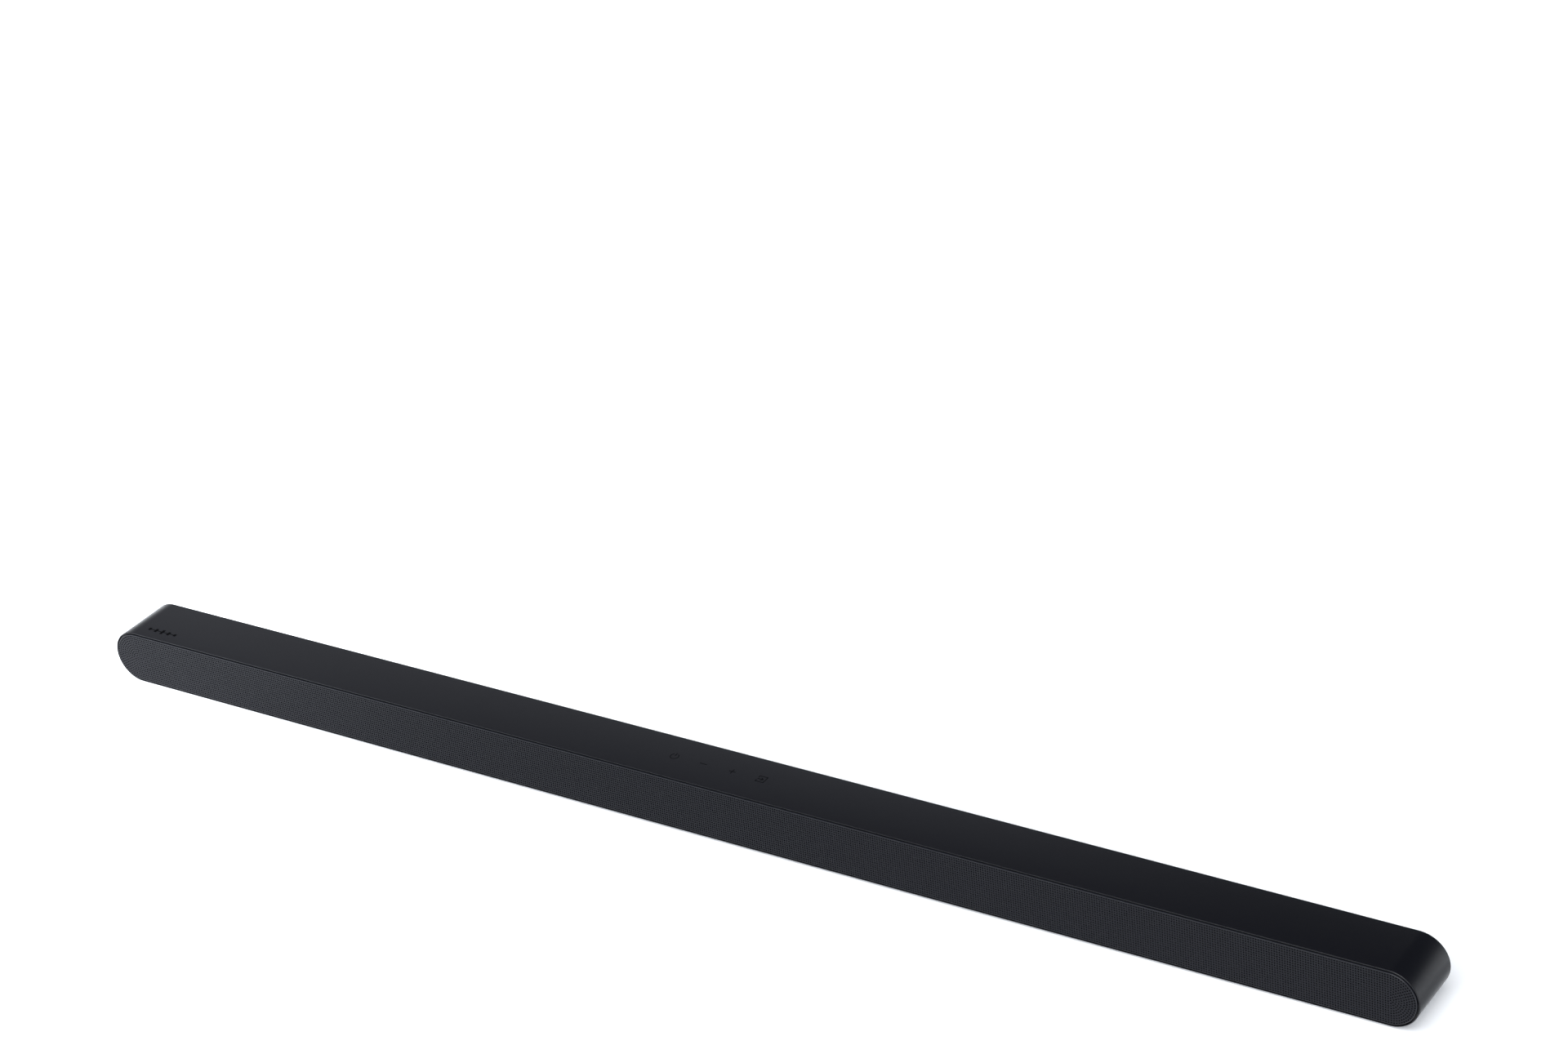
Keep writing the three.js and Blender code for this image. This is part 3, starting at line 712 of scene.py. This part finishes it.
def stage_rectangle(name, low, high, z, material):
    """A level rectangle that isn't part of the object."""
    corners = [low, (high[0], low[1]), high, (low[0], high[1])]
    mesh = bpy.data.meshes.new(name)
    mesh.from_pydata([(x, y, z) for x, y in corners], [], [(0, 1, 2, 3)])
    mesh.materials.append(material)
    rectangle = bpy.data.objects.new(name, mesh)
    bpy.context.scene.collection.objects.link(rectangle)
    return rectangle


def pale_floor():
    """A pale floor whose glow changes along the bar."""
    m = Nodes("pale_floor", (0.86, 0.86, 0.86), 0.9, specular=0.1)
    m.vary_colour(m.noise(3, 2), (0.85, 0.85, 0.85), (0.87, 0.87, 0.87))
    m.shader.inputs["Emission Color"].default_value = (0.9, 0.94, 1, 1)
    split = m.add("ShaderNodeSeparateXYZ")
    m.link(m.place, split.inputs["Vector"])
    glow = m.add("ShaderNodeFloatCurve")
    curve = glow.mapping.curves[0]
    curve.points[0].location = (0.0, FLOOR_GLOW[0])
    curve.points[1].location = (1.0, FLOOR_GLOW[-1])
    for i, level in enumerate(FLOOR_GLOW[1:-1], 1):
        curve.points.new(i / (len(FLOOR_GLOW) - 1), level)
    glow.mapping.update()
    m.link(m.remap(split.outputs["X"], 0, 1, *GLOW_REACH), glow.inputs["Value"])
    m.link(glow.outputs["Value"], m.shader.inputs["Emission Strength"])
    stage_rectangle("floor", (-FLOOR_HALF, -FLOOR_HALF), (FLOOR_HALF, FLOOR_HALF), 0, m.material)


def grey_card():
    """A card just over the floor past the right end, there only for the gloss of that end."""
    m = Nodes("grey_card", (0.6, 0.61, 0.62), 0.9, specular=0.1)
    m.vary_colour(m.noise(20, 2), (0.59, 0.60, 0.61), (0.61, 0.62, 0.63))
    card = stage_rectangle("grey_card", CARD_LOW, CARD_HIGH, CARD_Z, m.material)
    card.visible_camera = card.visible_shadow = card.visible_diffuse = False


def softbox(name, place, aim, size, power):
    """A glowing panel that shows in reflections but not to the camera."""
    data = bpy.data.lights.new(name, "AREA")
    data.shape = "RECTANGLE"
    data.size, data.size_y = size
    data.energy = power
    data.color = (0.88, 0.91, 1.0)
    lamp = bpy.data.objects.new(name, data)
    towards = (Vector(aim) - Vector(place)).normalized()
    lamp.matrix_world = Matrix.Translation(place) @ towards.to_track_quat("-Z", "Y").to_matrix().to_4x4()
    lamp.visible_camera = False
    bpy.context.scene.collection.objects.link(lamp)


def key_light():
    data = bpy.data.lights.new("key", "SUN")
    data.energy = KEY_STRENGTH
    data.angle = math.radians(KEY_SPREAD)
    data.color = (0.94, 0.965, 1.0)
    lamp = bpy.data.objects.new("key", data)
    lamp.matrix_world = direction(*KEY_ANGLES).to_track_quat("Z", "Y").to_matrix().to_4x4()
    bpy.context.scene.collection.objects.link(lamp)


def studio_world():
    """A dark room whose walls glow near the horizon, where the lit floor runs up to them."""
    world = bpy.data.worlds.new("studio")
    world.use_nodes = True
    tree = world.node_tree
    background = tree.nodes["Background"]
    place = tree.nodes.new("ShaderNodeTexCoord")
    split = tree.nodes.new("ShaderNodeSeparateXYZ")
    ramp = tree.nodes.new("ShaderNodeValToRGB")
    ramp.color_ramp.interpolation = "EASE"
    ramp.color_ramp.elements[0].position = HORIZON
    ramp.color_ramp.elements[0].color = (1.0, 1.03, 1.08, 1)
    ramp.color_ramp.elements[1].position = OVERHEAD
    ramp.color_ramp.elements[1].color = (0.018, 0.019, 0.022, 1)
    tree.links.new(place.outputs["Generated"], split.inputs["Vector"])
    tree.links.new(split.outputs["Z"], ramp.inputs["Fac"])
    tree.links.new(ramp.outputs["Color"], background.inputs["Color"])
    bpy.context.scene.world = world


def studio():
    studio_world()
    key_light()
    softbox("back_left_wide", place=(-1.62, 1.66, 1.4), aim=(0.0, 0.0, 0.0), size=(1.9, 1.0), power=1.6)
    softbox("back_left_far", place=(-2.4, 1.4, 1.25), aim=(-0.4, 0.0, 0.0), size=(0.9, 1.0), power=0.65)
    softbox("front_left", place=(-1.15, -0.55, 0.6), aim=(-0.4, 0.0, 0.0), size=(0.6, 0.6), power=2.5)
    bpy.context.scene.view_settings.view_transform = "Standard"


camera()
pale_floor()
grey_card()
studio()
